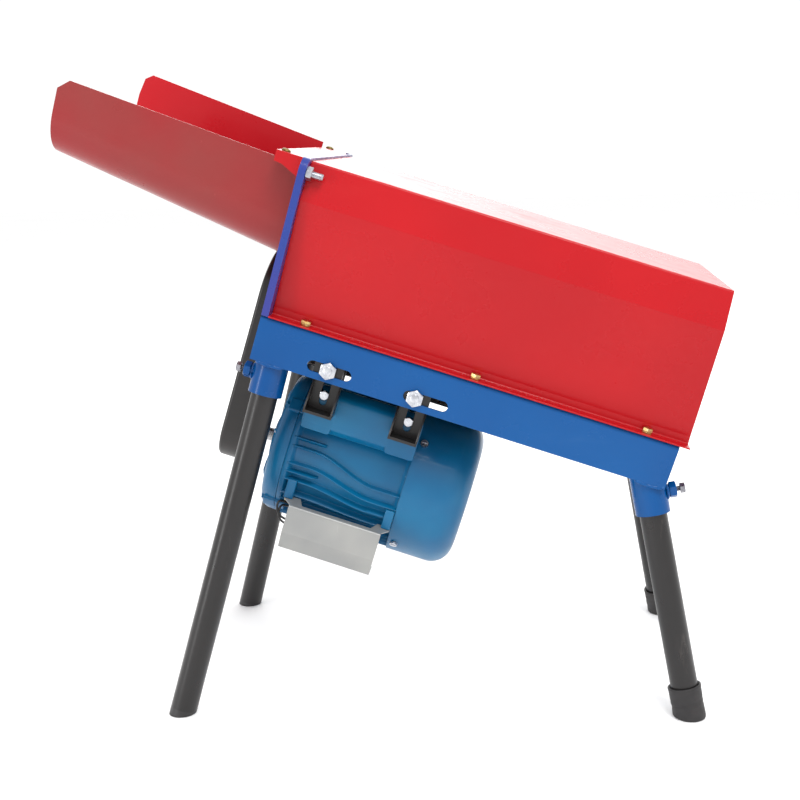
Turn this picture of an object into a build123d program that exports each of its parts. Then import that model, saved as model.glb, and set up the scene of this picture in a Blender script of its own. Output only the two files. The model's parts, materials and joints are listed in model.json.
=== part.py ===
from build123d import *
import os
from math import acos, cos, degrees, radians, sin, sqrt, tan

os.makedirs("parts", exist_ok=True)

# An electric maize sheller. The body (rails, end plate, hood, hopper, drum) is drawn level in its own
# "body frame": X along the rails from feed to discharge, Y across (front is -Y), Z square to the rails,
# with the origin at the top corner of the rails' feed end. place() tilts it into the row frame, whose
# origin is on the floor under the middle of the machine. Millimetres.

# --- driving dimensions ---------------------------------------------------------------------------
TILT = 18.5                 # slope of the body, feed end high
BODY_X = -134.2             # where the body frame's origin stands in the row frame
BODY_Z = 454.0

RAIL_LENGTH = 470.0
RAIL_HEIGHT = 50.0
RAIL_FLANGE = 32.0
RAIL_SHEET = 3.0
HALF_WIDTH = 145.0          # outer face of a side rail from the middle plane

HOOD_SHEET = 1.5
HOOD_START, HOOD_END = 8.2, 480.5
HOOD_RAKE = 12.5               # the discharge end leans back by this much at the top
HOOD_FOOT = 127.0           # half width where the hood rises from its flange
HOOD_WAIST = 149.0          # half width at the soft crease
HOOD_SHOULDER = 139.0       # half width at the top corner
WAIST_Z, HOOD_TOP = 131.0, 173.0
HOOD_SCREW_X = (48.0, 240.5, 433.0)
HOOD_SCREW_Y = 135.0

PLATE_X = (6.0, 8.0)        # sheet of the feed end plate
PLATE_FOOT, PLATE_TOP_HALF = 146.0, 160.0
PLATE_TOP = 175.5
PLATE_CORNER = 16.0
TAB_LOW = -70.0             # lowest edge of the two end plates

SHAFT_R = 12.5              # the drum's axis is the body frame's X axis
DRUM_R, PEG_TIP_R = 42.0, 60.0
DRUM_START, DRUM_END = 42.0, 424.0
SCREEN_R = 66.0             # inside of the concave
BAR_X = 458.0               # inner face of the discharge end bar
BAR_SHEET = 4.0
BEARING_BOLT_Y = 45.0
FIT = 0.05                  # radial running clearance

MOTOR_Y, MOTOR_Z = -20.0, -162.0
MOTOR_R = 88.0
MOTOR_SHAFT_R = 8.0
ROTOR_SEAT_R = 10.0         # shaft at the motor's bearings
MOTOR_BODY = (62.0, 203.0)
FAN_COVER_END = 276.0
FOOT_FACE = -110.0          # the motor's foot face, where the brackets' webs bear
FOOT_BOLT_Z = -72.0
BRACKET_X = (86.5, 185.0)
BRACKET_WIDTH = 33.0
BRACKET_SHEET = 3.0
SLOT_LENGTH, SLOT_WIDTH, SLOT_Z = 50.0, 12.0, -36.5
SLOT_X = (87.5, 197.0)

PULLEY_X = (-20.0, -4.0)
DRUM_PULLEY_R, MOTOR_PULLEY_R = 48.0, 32.0
BELT_TOP, BELT_BOTTOM, BELT_HEIGHT = 12.6, 7.1, 8.0
BELT_SINK = 0.5             # how deep the belt's back lies in the groove
GUARD_FRONT = -25.5
GUARD_GAP = 7.0
GUARD_SHEET = 1.5

CAP_X = (84.0, 193.0)
CAP_TOP, CAP_CREASE, CAP_BOTTOM = -203.0, -236.0, -257.0
CAP_FRONT = -128.0
CAP_SHEET = 1.2

LEG_R, LEG_BORE = 15.0, 12.8
SOCKET_OUT, SOCKET_IN = 19.0, 15.1
SOCKET_UP, SOCKET_DOWN = 44.0, 38.0
SOCKET_CUT = -12.0          # sockets stop this far below the rails' top
LEG_SPLAY = 6.5             # each leg leans outwards, front and rear
CLAMP_DROP = 16.0
LEGS = {                    # name: (X in the body frame at the rail's underside, lean along X, side)
    "front_left": (22.5, -16.5, -1),
    "front_right": (452.5, 9.9, -1),
    "rear_left": (22.5, -16.5, 1),
    "rear_right": (452.5, 9.9, 1),
}


# --- helpers ----------------------------------------------------------------------------------------
def place(shape):
    """Body frame to row frame."""
    return Pos(BODY_X, 0, BODY_Z) * Rot(0, TILT, 0) * shape


def box(x0, x1, y0, y1, z0, z1):
    return Pos((x0 + x1) / 2, (y0 + y1) / 2, (z0 + z1) / 2) * Box(x1 - x0, y1 - y0, z1 - z0)


def rod(radius, x0, x1, y=0.0, z=0.0):
    """Round bar along X."""
    return Pos((x0 + x1) / 2, y, z) * Rot(0, 90, 0) * Cylinder(radius, x1 - x0)


def rod_y(radius, y0, y1, x, z):
    return Pos(x, (y0 + y1) / 2, z) * Rot(90, 0, 0) * Cylinder(radius, y1 - y0)


def rod_z(radius, z0, z1, x, y):
    return Pos(x, y, (z0 + z1) / 2) * Cylinder(radius, z1 - z0)


def hexagon(across_flats, height):
    """Hexagonal prism standing on the XY plane."""
    return extrude(RegularPolygon(across_flats / sqrt(3), 6), amount=height)


def bolt(diameter, length, across_flats, head, washer=0.0):
    """Hex bolt with its head above the XY plane and its shank below it."""
    body = hexagon(across_flats, head) - Pos(0, 0, head) * Cylinder(across_flats * 0.22, 0.8)
    body = Pos(0, 0, washer) * body
    if washer:
        body += Pos(0, 0, washer / 2) * Cylinder(across_flats * 0.58, washer)
    return body + Pos(0, 0, -length / 2) * Cylinder(diameter / 2, length)


def nut(diameter, across_flats, height):
    """Hex nut standing on the XY plane, a thread's clearance round its bolt."""
    return hexagon(across_flats, height) - Pos(0, 0, height / 2) * Cylinder(diameter / 2 + 0.02, height)


def along(shape, point, direction):
    """Moves a shape drawn on Z to a point, with its Z along a direction."""
    return Plane(origin=point, z_dir=direction) * shape


def prism_yz(points, x0, x1):
    """Polygon in Y and Z, extruded along X."""
    face = make_face(Polyline(*points, close=True))
    return extrude(stand_yz(0, 0, x0) * face, amount=x1 - x0)


def prism_xz(points, y0, y1):
    """Polygon in X and Z, extruded along Y."""
    face = make_face(Polyline(*points, close=True))
    plane = Plane(origin=(0, y1, 0), x_dir=(1, 0, 0), z_dir=(0, -1, 0))
    return extrude(plane * face, amount=y1 - y0)


def folded(points, sheet, bend, x0, x1):
    """Sheet folded along a line in Y and Z, extruded along X."""
    face = trace(FilletPolyline(*points, radius=bend), line_width=sheet)
    return extrude(stand_yz(0, 0, x0) * face, amount=x1 - x0)


def stand_yz(y, z, x=0.0):
    """Plane square to X, with its own X along Y and its own Y along Z."""
    return Plane(origin=(x, y, z), x_dir=(0, 1, 0), z_dir=(1, 0, 0))


def turned(points):
    """Profile of (x, radius) points, turned about the X axis."""
    return revolve(make_face(Plane.XZ * Polyline(*points, close=True)), Axis.X)


def ring(outer, inner, x0, x1, y=0.0, z=0.0):
    return rod(outer, x0, x1, y, z) - rod(inner, x0 - 1, x1 + 1, y, z)


def mirrored(shape):
    return mirror(shape, about=Plane.XZ)


def group(shapes):
    return Compound([solid for shape in shapes for solid in shape.solids()])


def at_motor(shape):
    return Pos(0, MOTOR_Y, MOTOR_Z) * shape


# --- body frame: rails, end plate, bearing bar ------------------------------------------------------
def side_rail():
    """Front rail: a folded angle, with a hole under each hood screw."""
    inner = HALF_WIDTH - RAIL_SHEET
    points = [(-HALF_WIDTH + RAIL_SHEET / 2, -RAIL_HEIGHT), (-HALF_WIDTH + RAIL_SHEET / 2, -RAIL_SHEET / 2),
              (-HALF_WIDTH + RAIL_FLANGE, -RAIL_SHEET / 2)]
    rail = folded(points, RAIL_SHEET, 3.5, 0, RAIL_LENGTH)
    for x in HOOD_SCREW_X:
        rail -= rod_z(3.3, -inner, 5, x, -HOOD_SCREW_Y)
    return rail


def front_side_rail():
    rail = side_rail()
    for x in SLOT_X:
        slot = extrude(SlotOverall(SLOT_LENGTH, SLOT_WIDTH), amount=20, both=True)
        rail -= Pos(x, -HALF_WIDTH, SLOT_Z) * Rot(90, 0, 0) * slot
    return rail


def throat():
    """Opening in the end plate and the collar where the cobs come in over the drum."""
    opening = extrude(RectangleRounded(224, 92, 30), amount=30, both=True)
    return stand_yz(0, 118) * opening


def plate_outline(inset):
    """The end plate's upper outline, wider at the top, with round top corners."""
    top_half = PLATE_TOP_HALF - inset
    top = PLATE_TOP - inset
    foot = PLATE_FOOT - inset
    outline = make_face(Polyline((-foot, 0.3), (foot, 0.3), (top_half, top), (-top_half, top), close=True))
    corners = outline.vertices().sort_by(Axis.Y)[2:]
    return fillet(corners, PLATE_CORNER - inset)


def end_tab(x0, x1, half, top):
    """Lower part of an end plate, narrow enough to clear the leg sockets."""
    points = [(-60, TAB_LOW), (60, TAB_LOW), (half, -44), (half, top), (-half, top), (-half, -44)]
    return prism_yz(points, x0, x1)


COLLAR_BOLTS = [(-149.8, 160.0), (149.8, 160.0)]


def feed_end_plate():
    """Plate with its side lips turned towards the hopper."""
    x0, x1 = PLATE_X
    lip = extrude(stand_yz(0, 0) * (plate_outline(0) - plate_outline(x1 - x0)), amount=x1)
    lip -= box(-1, x0, -PLATE_TOP_HALF + PLATE_CORNER, PLATE_TOP_HALF - PLATE_CORNER, 150, 180)
    lip -= box(-1, x0, -PLATE_FOOT + 3, PLATE_FOOT - 3, -1, 4)
    plate = extrude(stand_yz(0, 0, x0) * plate_outline(0), amount=x1 - x0) + lip
    plate += end_tab(x0, x1, 100, 0.3)
    plate -= throat()
    plate -= rod(SHAFT_R + 5, -10, 20)
    for y, z in COLLAR_BOLTS:
        plate -= rod(4.2, -10, 20, y, z)
    for y in (-BEARING_BOLT_Y, BEARING_BOLT_Y):
        plate -= rod(5.2, -10, 20, y)
    for y, z in GUARD_EARS:
        plate -= rod(3.2, -10, 20, y, z)
    return plate


def discharge_end_bar():
    """Bearing plate between the rails; the cobs leave over its top."""
    x0, x1 = BAR_X, BAR_X + BAR_SHEET
    reach = HALF_WIDTH - RAIL_FLANGE - 0.5
    bar = end_tab(x0, x1, 98, -14)
    bar += prism_yz([(-reach, -14), (reach, -14), (reach, 14), (62, 48), (-62, 48), (-reach, 14)], x0, x1)
    bar -= rod(SHAFT_R + 5, x0 - 5, x1 + 5)
    for y in (-BEARING_BOLT_Y, BEARING_BOLT_Y):
        bar -= rod(5.2, x0 - 5, x1 + 5, y)
    return bar


# --- hood, hopper and collar ------------------------------------------------------------------------
def hood():
    foot = HOOD_SHEET / 2 + 0.1
    half = [(HOOD_SHOULDER, HOOD_TOP - HOOD_SHEET / 2), (HOOD_WAIST - HOOD_SHEET / 2, WAIST_Z),
            (HOOD_FOOT, 10), (HOOD_FOOT, foot), (HALF_WIDTH + 2, foot)]
    points = [(-y, z) for y, z in reversed(half)] + half
    cover = folded(points, HOOD_SHEET, 2.2, HOOD_START, HOOD_END)
    cover -= prism_xz([(HOOD_END, -1), (HOOD_END - HOOD_RAKE, 180), (HOOD_END + 5, 180), (HOOD_END + 5, -1)],
                      -200, 200)
    for x in HOOD_SCREW_X:
        for y in (-HOOD_SCREW_Y, HOOD_SCREW_Y):
            cover -= rod_z(3.2, -5, 8, x, y)
    return cover


def hood_screws():
    """Flanged hex screws with nuts under the rail's flange."""
    screw = bolt(6, 12, 10, 4.5, 1.4)
    pieces = []
    for x in HOOD_SCREW_X:
        for y in (-HOOD_SCREW_Y, HOOD_SCREW_Y):
            pieces.append(Pos(x, y, HOOD_SHEET + 0.15) * screw)
            pieces.append(Pos(x, y, -RAIL_SHEET - 5.0) * nut(6, 10, 5))
    return group(pieces)


HOPPER_SHEET = 1.6
HOPPER_CORNER = 45.0
HOPPER_BACK, HOPPER_MOUTH = 4.0, -276.0
HOPPER_HALF = (130.0, 140.0)         # half width at the machine and at the mouth
HOPPER_FLOOR = (61.0, 99.0)
HOPPER_FRONT_TOP = (166.0, 178.5)     # height of the front wall at the collar and at the mouth
HOPPER_REAR_TOP = (181.0, 198.0)
HOPPER_CHAMFER = 12.0
COLLAR_LENGTH = 29.0
COLLAR_HALF = 150.0
COLLAR_TOP = 174.5
COLLAR_SHEET = 1.6


def hopper_section(x, half, floor):
    points = [(-half, 260), (-half + 7, floor), (half - 7, floor), (half, 260)]
    face = trace(FilletPolyline(*points, radius=HOPPER_CORNER), line_width=HOPPER_SHEET)
    return stand_yz(0, 0, x) * face


def feed_hopper():
    """U-shaped trough, open at its top and its mouth."""
    sections = [hopper_section(HOPPER_BACK, HOPPER_HALF[0], HOPPER_FLOOR[0]),
                hopper_section(HOPPER_MOUTH, HOPPER_HALF[1], HOPPER_FLOOR[1])]
    trough = loft(sections, ruled=True)
    corner = HOPPER_MOUTH + HOPPER_CHAMFER
    under = HOPPER_FRONT_TOP[0]
    front = prism_xz([(HOPPER_BACK + 1, 0), (HOPPER_BACK + 1, under), (-COLLAR_LENGTH, under),
                      (corner, HOPPER_FRONT_TOP[1]), (HOPPER_MOUTH - 1, HOPPER_FRONT_TOP[1] - HOPPER_CHAMFER),
                      (HOPPER_MOUTH - 1, 0)], -200, 0)
    rear = prism_xz([(HOPPER_BACK + 1, 0), (HOPPER_BACK + 1, under), (-COLLAR_LENGTH - 0.5, under),
                     (-COLLAR_LENGTH - 0.5, HOPPER_REAR_TOP[0]), (corner, HOPPER_REAR_TOP[1]),
                     (corner - 9, HOPPER_REAR_TOP[1] - 7), (HOPPER_MOUTH - 1, HOPPER_REAR_TOP[1] - 34),
                     (HOPPER_MOUTH - 1, 0)], 0, 200)
    return trough & (front + rear)


def hopper_collar():
    """Folded frame that ties the trough to the end plate: back flange, bridge and two cheeks."""
    back = PLATE_X[0] - 0.1
    flange = extrude(stand_yz(0, 0, back - COLLAR_SHEET) * plate_outline(2.4), amount=COLLAR_SHEET)
    collar = flange & box(-10, 20, -200, 200, 58, COLLAR_TOP)
    collar -= throat()
    for y, z in COLLAR_BOLTS:
        collar -= rod(4.2, -10, 20, y, z)
    low, high = COLLAR_TOP - COLLAR_SHEET, COLLAR_TOP
    collar += box(-COLLAR_LENGTH, 0, -COLLAR_HALF, COLLAR_HALF, low, high)
    collar += box(-1, back, 20 - COLLAR_HALF, COLLAR_HALF - 20, low, high)
    cheek = prism_xz([(-0.2, high), (-COLLAR_LENGTH, high), (-COLLAR_LENGTH, high - 12),
                      (-COLLAR_LENGTH + 9, high - 13), (-0.2, high - 22)],
                     COLLAR_HALF - COLLAR_SHEET, COLLAR_HALF)
    return collar + cheek + mirrored(cheek)


def collar_screws():
    """Pan-head screws at the bridge's outer corners."""
    head = Pos(0, 0, 1.5) * Cylinder(5.0, 3.0) - Pos(0, 0, 3) * Box(1.4, 8, 2)
    return group([Pos(8 - COLLAR_LENGTH, y, COLLAR_TOP + 0.05) * head for y in (-138, 138)])


def collar_bolts():
    """Heads inside the end plate's lip, nuts beside the hood."""
    pieces = []
    for y, z in COLLAR_BOLTS:
        head = PLATE_X[0] - 0.1 - COLLAR_SHEET
        pieces.append(along(bolt(8, 22, 13, 4.3), (head, y, z), (-1, 0, 0)))
        pieces.append(along(nut(8, 13, 6.5), (PLATE_X[1], y, z), (1, 0, 0)))
    return group(pieces)


# --- drum, concave and bearings ---------------------------------------------------------------------
def concave_screen():
    """Slotted half cylinder under the drum, with an apron out to each rail."""
    sheet = 2.0
    top = -RAIL_SHEET - 0.1
    start, end = PLATE_X[1] + 1, BAR_X - 1
    shell = ring(SCREEN_R + sheet, SCREEN_R, start, end)
    shell -= box(start - 1, end + 1, -90, 90, top, 100)
    apron = box(start, end, SCREEN_R - 0.6, HALF_WIDTH - RAIL_FLANGE + 5, top - sheet, top)
    shell += apron + mirrored(apron)
    rows, columns, pitch = 9, 16, 26.0
    slots = []
    for row in range(rows):
        angle = 16.0 * (row - (rows - 1) / 2)
        for column in range(columns):
            x = start + 24 + column * pitch + (row % 2) * pitch / 2
            slots.append(Rot(angle, 0, 0) * box(x - 7, x + 7, -4.2, 4.2, -SCREEN_R - 5, -SCREEN_R + 5))
    return shell - slots


def drum_shaft():
    return rod(SHAFT_R, PULLEY_X[0] - 3, BAR_X + BAR_SHEET + 8) - drum_key()


def drum_key():
    return box(PULLEY_X[0], PULLEY_X[1], -4, 4, SHAFT_R - 4, SHAFT_R + 3)


PEG_R = 4.5
PEG_ROWS, PEGS_PER_ROW = 4, 13
PEG_TWIST = 24.0               # degrees between neighbours in a row
PEG_MARGIN = 16.0              # first and last peg from the drum's ends


def stand_pegs(peg):
    """Copies of a peg drawn at X = 0, along four helical rows."""
    pitch = (DRUM_END - DRUM_START - 2 * PEG_MARGIN) / (PEGS_PER_ROW - 1)
    pegs = []
    for row in range(PEG_ROWS):
        for i in range(PEGS_PER_ROW):
            turn = Rot(row * 360 / PEG_ROWS + i * PEG_TWIST, 0, 0)
            pegs.append(turn * Pos(DRUM_START + PEG_MARGIN + i * pitch, 0, 0) * peg)
    return pegs


def threshing_drum():
    """Steel tube on two end discs, drilled for its pegs."""
    drum = ring(DRUM_R, DRUM_R - 4, DRUM_START, DRUM_END)
    drum += ring(DRUM_R - 3, SHAFT_R, DRUM_START + 2, DRUM_START + 8)
    drum += ring(DRUM_R - 3, SHAFT_R, DRUM_END - 8, DRUM_END - 2)
    return drum - stand_pegs(rod_z(PEG_R + FIT, DRUM_R - 6, DRUM_R + 3, 0, 0))


def drum_pegs():
    return group(stand_pegs(rod_z(PEG_R, DRUM_R - 4, PEG_TIP_R, 0, 0)))


BEARING_OUT_R, BEARING_WIDTH, BEARING_REACH = 26.0, 15.0, 28.0
BEARING_SEAT = 13.0            # where the bearing starts, from the flange's foot


def bearing_housing():
    """Two-bolt flange housing standing on its flange."""
    thick = 11.0
    outline = make_hull(Circle(30).edges() + (Pos(-BEARING_BOLT_Y, 0) * Circle(13)).edges()
                        + (Pos(BEARING_BOLT_Y, 0) * Circle(13)).edges())
    body = extrude(outline, amount=thick) + rod_z(31, 0, BEARING_REACH, 0, 0)
    body = fillet(body.edges().filter_by(GeomType.CIRCLE).group_by(Axis.Z)[-1], 2.5)
    body -= rod_z(SHAFT_R + 3, -1, BEARING_REACH + 1, 0, 0)
    body -= rod_z(BEARING_OUT_R, BEARING_SEAT, BEARING_REACH + 1, 0, 0)
    for x in (-BEARING_BOLT_Y, BEARING_BOLT_Y):
        body -= rod_z(5.2, -1, thick + 1, x, 0)
    return body


def bearing_stations():
    """Where each housing stands: X of its flange, direction of its nose, thickness of its plate."""
    return ((PLATE_X[1] + 0.1, 1, PLATE_X[1] - PLATE_X[0]), (BAR_X - 0.1, -1, BAR_SHEET))


def stand_bearing(shape, x, nose):
    return Plane(origin=(x, 0, 0), x_dir=(0, 1, 0), z_dir=(nose, 0, 0)) * shape


def bearing_housings():
    return group([stand_bearing(bearing_housing(), x, nose) for x, nose, _ in bearing_stations()])


def drum_bearings():
    low, high = BEARING_SEAT, BEARING_SEAT + BEARING_WIDTH
    bearing = rod_z(BEARING_OUT_R, low, high, 0, 0) - rod_z(SHAFT_R + FIT, low - 1, high + 1, 0, 0)
    bearing -= rod_z(22, high - 1, high + 1, 0, 0) - rod_z(17, high - 1, high + 1, 0, 0)
    return group([stand_bearing(bearing, x, nose) for x, nose, _ in bearing_stations()])


def bearing_bolts():
    pieces = []
    for x, nose, sheet in bearing_stations():
        for y in (-BEARING_BOLT_Y, BEARING_BOLT_Y):
            length = 11.1 + sheet + 6.5
            pieces.append(along(bolt(10, length, 17, 6.4), (x + nose * 11.0, y, 0), (nose, 0, 0)))
            pieces.append(along(nut(10, 17, 5), (x - nose * (sheet + 0.2), y, 0), (-nose, 0, 0)))
    return group(pieces)


# --- belt drive -------------------------------------------------------------------------------------
def pulley(radius, bore, hub):
    """V-groove pulley on the X axis, from PULLEY_X[0] to PULLEY_X[1]."""
    x0, x1 = PULLEY_X
    mid = (x0 + x1) / 2
    half_top, half_root, depth = 6.8, 3.0, 11.0
    rim = radius - depth - 4
    profile = [(x0, rim), (x0, radius), (mid - half_top, radius), (mid - half_root, radius - depth),
               (mid + half_root, radius - depth), (mid + half_top, radius), (x1, radius), (x1, rim)]
    body = turned(profile)
    body += ring(hub, bore, x0, x1)
    if rim > hub:
        body += ring(rim + 0.5, hub - 0.5, mid - 3, mid + 3)
        holes = [Rot(60 * i, 0, 0) * rod((rim - hub) * 0.32, x0, x1, 0, (rim + hub) / 2) for i in range(6)]
        body -= holes
    return body - rod(bore, x0 - 1, x1 + 1)


def drum_pulley():
    return pulley(DRUM_PULLEY_R, SHAFT_R, 21) - drum_key()


def motor_pulley():
    return at_motor(pulley(MOTOR_PULLEY_R, MOTOR_SHAFT_R, 15)) - motor_key()


def motor_key():
    return at_motor(box(PULLEY_X[0], PULLEY_X[1], -2.5, 2.5, MOTOR_SHAFT_R - 3, MOTOR_SHAFT_R + 2.3))


def belt_loop(grow):
    """Closed loop round both pulleys' rims, each radius grown by the same amount."""
    r1, r2 = DRUM_PULLEY_R + grow, MOTOR_PULLEY_R + grow
    distance = sqrt(MOTOR_Y ** 2 + MOTOR_Z ** 2)
    down = Vector(MOTOR_Y, MOTOR_Z) / distance
    lean = degrees(acos((r1 - r2) / distance))
    centre = Vector(MOTOR_Y, MOTOR_Z)
    one, other = down.rotate(Axis.Z, lean), down.rotate(Axis.Z, -lean)
    a, b, c, d = one * r1, other * r1, centre + other * r2, centre + one * r2
    return Wire([ThreePointArc(a, down * -r1, b).edge(), Line(b, c).edge(),
                 ThreePointArc(c, centre + down * r2, d).edge(), Line(d, a).edge()])


def loop_prism(grow, x0, x1):
    return extrude(stand_yz(0, 0, x0) * make_face(belt_loop(grow)), amount=x1 - x0)


def v_belt():
    """Trapezoidal belt swept round the two pulleys."""
    half = BELT_HEIGHT / 2
    path = stand_yz(0, 0, sum(PULLEY_X) / 2) * belt_loop(-BELT_SINK - half)
    line = path.edges().filter_by(GeomType.LINE).sort_by(Axis.Y)[0]
    plane = Plane(origin=line @ 0, x_dir=(1, 0, 0), z_dir=line % 0)
    outward = half if plane.y_dir.Y < 0 else -half
    section = make_face(Polyline((-BELT_BOTTOM / 2, -outward), (-BELT_TOP / 2, outward),
                                 (BELT_TOP / 2, outward), (BELT_BOTTOM / 2, -outward), close=True))
    return sweep(plane * section, path=path)


GUARD_EARS = [(-66.0, 28.0), (66.0, 28.0)]
GUARD_STUDS = [(-9.0, -78.0), (-14.0, -106.0)]


def belt_guard():
    """Pan over both pulleys, with two ears on the end plate."""
    back = PLATE_X[0] - 0.1
    outer = loop_prism(GUARD_GAP + GUARD_SHEET, GUARD_FRONT, back)
    outer = fillet(outer.faces().sort_by(Axis.X)[0].edges(), 4)
    inner = loop_prism(GUARD_GAP, GUARD_FRONT + GUARD_SHEET, back + 1)
    guard = outer
    for y, z in GUARD_EARS:
        guard += box(back - GUARD_SHEET, back, y - 24, y + 24, z - 9, z + 9) & box(-9, 9, -76, 76, 0, 60)
        guard -= rod(3.2, back - 5, back + 5, y, z)
    guard -= inner
    for y, z in GUARD_STUDS:
        guard -= rod(3.2, GUARD_FRONT - 5, GUARD_FRONT + 5, y, z)
    return guard


def guard_back():
    """Closes the guard below the end plate; slotted so that the motor can move to tighten the belt."""
    back = PLATE_X[0] - 0.1
    plate = loop_prism(GUARD_GAP - 0.1, back - GUARD_SHEET, back) & box(-10, 20, -300, 300, -300, -52)
    slot = extrude(Rot(0, 0, 90) * SlotOverall(52, 32), amount=20, both=True)
    plate -= stand_yz(MOTOR_Y, MOTOR_Z, back) * slot
    for y, z in GUARD_STUDS:
        plate -= rod(3.2, back - 5, back + 5, y, z)
    return plate


def guard_standoffs():
    start = GUARD_FRONT + GUARD_SHEET + 0.05
    end = PLATE_X[0] - 0.15 - GUARD_SHEET
    return group([ring(6, 3.1, start, end, y, z) for y, z in GUARD_STUDS])


def guard_screws():
    back = PLATE_X[0] - 0.1
    pieces = []
    for y, z in GUARD_STUDS:
        pieces.append(along(bolt(6, back - GUARD_FRONT + 6, 10, 4), (GUARD_FRONT, y, z), (-1, 0, 0)))
        pieces.append(along(nut(6, 10, 5), (back + 0.05, y, z), (1, 0, 0)))
    for y, z in GUARD_EARS:
        pieces.append(along(bolt(6, 10, 10, 4), (back - GUARD_SHEET, y, z), (-1, 0, 0)))
        pieces.append(along(nut(6, 10, 5), (PLATE_X[1] + 0.05, y, z), (1, 0, 0)))
    return group(pieces)


# --- motor ------------------------------------------------------------------------------------------
LUG_ANGLES = (45, 135, 225, 315)


def motor_lug(x0, x1):
    """Four screw lugs round the rim, in the motor's own axes."""
    return [Rot(angle, 0, 0) * box(x0, x1, -8, 8, MOTOR_R - 16, MOTOR_R - 1) for angle in LUG_ANGLES]


def motor_housing():
    """Finned shell with the foot for the brackets and two seats for the capacitor box."""
    x0, x1 = MOTOR_BODY
    count = 30
    shell = rod(77, x0, x1)
    shell += [Rot(360 / count * i, 0, 0) * box(x0, x1, -1.4, 1.4, 70, MOTOR_R - 2) for i in range(count)]
    face = FOOT_FACE + 0.1 - MOTOR_Y
    high, low = -68 - MOTOR_Z, -110 - MOTOR_Z
    foot = prism_yz([(face, low), (face, high - 8), (face + 8, high), (face + 30, high), (-40, 70),
                     (-60, low)], x0 + 6, x1 - 3)
    shell += foot
    for x in CAP_SCREW_X:
        shell += box(x - 5.5, x + 5.5, -88, -70, CAP_TOP + 0.05 - MOTOR_Z, -20)
    shell += motor_lug(x0, x0 + 12)
    shell -= rod(72, x0 - 1, x1 + 1)
    for x in BRACKET_X:
        shell -= rod_y(3.2, face - 5, face + 10, x, FOOT_BOLT_Z - MOTOR_Z)
    for x in CAP_SCREW_X:
        shell -= rod_z(2.6, CAP_TOP - MOTOR_Z - 5, CAP_TOP - MOTOR_Z + 10, x, CAP_SCREW_Y - MOTOR_Y)
    return at_motor(shell)


def drive_end_bell():
    """Flat-domed end cover with the drive-side bearing seat."""
    x1 = MOTOR_BODY[0]
    profile = [(34, 12), (34, 30), (38, 34), (40, 60), (40, 74), (43, 80), (48, 84), (x1, 85), (x1, 71.9),
               (57, 71), (53, 64), (50, 36), (55, 36), (55, 23.5), (38, 23.5), (38, 12)]
    ribs = [Rot(45 * i + 22.5, 0, 0) * box(36, 44, -3, 3, 31, 70) for i in range(8)]
    bell = turned(profile) + ribs + motor_lug(48, x1)
    bell -= rod(23.5, 38, 56) + rod(MOTOR_SHAFT_R + 1.5, 30, 60)
    for angle in LUG_ANGLES:
        bell -= Rot(angle, 0, 0) * rod(2.6, 40, x1 + 1, 0, MOTOR_R - 8)
        bell -= Rot(angle, 0, 0) * rod(5.6, 36, 48, 0, MOTOR_R - 8)
    return at_motor(bell)


def fan_end_bell():
    """End cover under the cowl with the fan-side bearing seat."""
    x0 = MOTOR_BODY[1]
    profile = [(x0, 71.9), (x0, 82), (x0 + 10, 82), (x0 + 14, 74), (x0 + 20, 34), (x0 + 20, 11),
               (x0 + 16, 11), (x0 + 16, 23.5), (x0 - 1, 23.5), (x0 - 1, 34), (x0 + 8, 38), (x0 + 4, 68)]
    return at_motor(turned(profile))


def motor_bearings():
    starts = (38.5, MOTOR_BODY[1])
    return group([at_motor(ring(23.5, ROTOR_SEAT_R + FIT, x, x + 14)) for x in starts])


def stator_core():
    slots = [Rot(15 * i, 0, 0) * box(80, 185, -2.2, 2.2, 43, 60) for i in range(24)]
    return at_motor(ring(72, 43.5, 84, 181) - slots)


def stator_winding():
    """End turns on each side of the core."""
    ends = []
    for x0, x1 in ((66, 83.8), (181.2, 198)):
        ends.append(at_motor(turned([(x0, 50), (x0, 62), (x0 + 3, 66), (x1 - 3, 66), (x1, 62), (x1, 50),
                                     (x1 - 3, 46.5), (x0 + 3, 46.5)])))
    return group(ends)


def rotor_shaft():
    shaft = rod(MOTOR_SHAFT_R, PULLEY_X[0] - 2, 38) + rod(ROTOR_SEAT_R, 38, 219) + rod(8, 219, 262)
    return at_motor(shaft) - motor_key()


def rotor_core():
    core = ring(43, ROTOR_SEAT_R, 85, 180)
    return at_motor(core + ring(41, 27, 79, 86) + ring(41, 27, 179, 186))


def cooling_fan():
    fan = ring(24, 8, 228, 252) + ring(72, 23, 228, 230.5)
    return at_motor(fan + [Rot(45 * i, 0, 0) * box(230, 252, -1.3, 1.3, 22, 71) for i in range(8)])


def cowl(radius, x1, bend):
    shape = rod(radius, MOTOR_BODY[1] - 2, x1)
    return fillet(shape.edges().filter_by(GeomType.CIRCLE).sort_by(Axis.X)[-1], bend)


def fan_cover():
    """Pressed cowl with a vented end."""
    sheet = 1.6
    cover = cowl(MOTOR_R, FAN_COVER_END, 26) - cowl(MOTOR_R - sheet, FAN_COVER_END - sheet, 26 - sheet)
    vents = []
    for radius, count in ((16, 6), (26, 9), (36, 13), (46, 16), (56, 20)):
        for i in range(count):
            hole = rod(3.2, FAN_COVER_END - 8, FAN_COVER_END + 2, 0, radius)
            vents.append(Rot(360 / count * i, 0, 0) * hole)
    for angle in LUG_ANGLES:
        vents.append(Rot(angle, 0, 0) * rod_z(2.6, MOTOR_R - 10, MOTOR_R + 5, MOTOR_BODY[1] + 6, 0))
    return at_motor(cover - vents)


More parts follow.
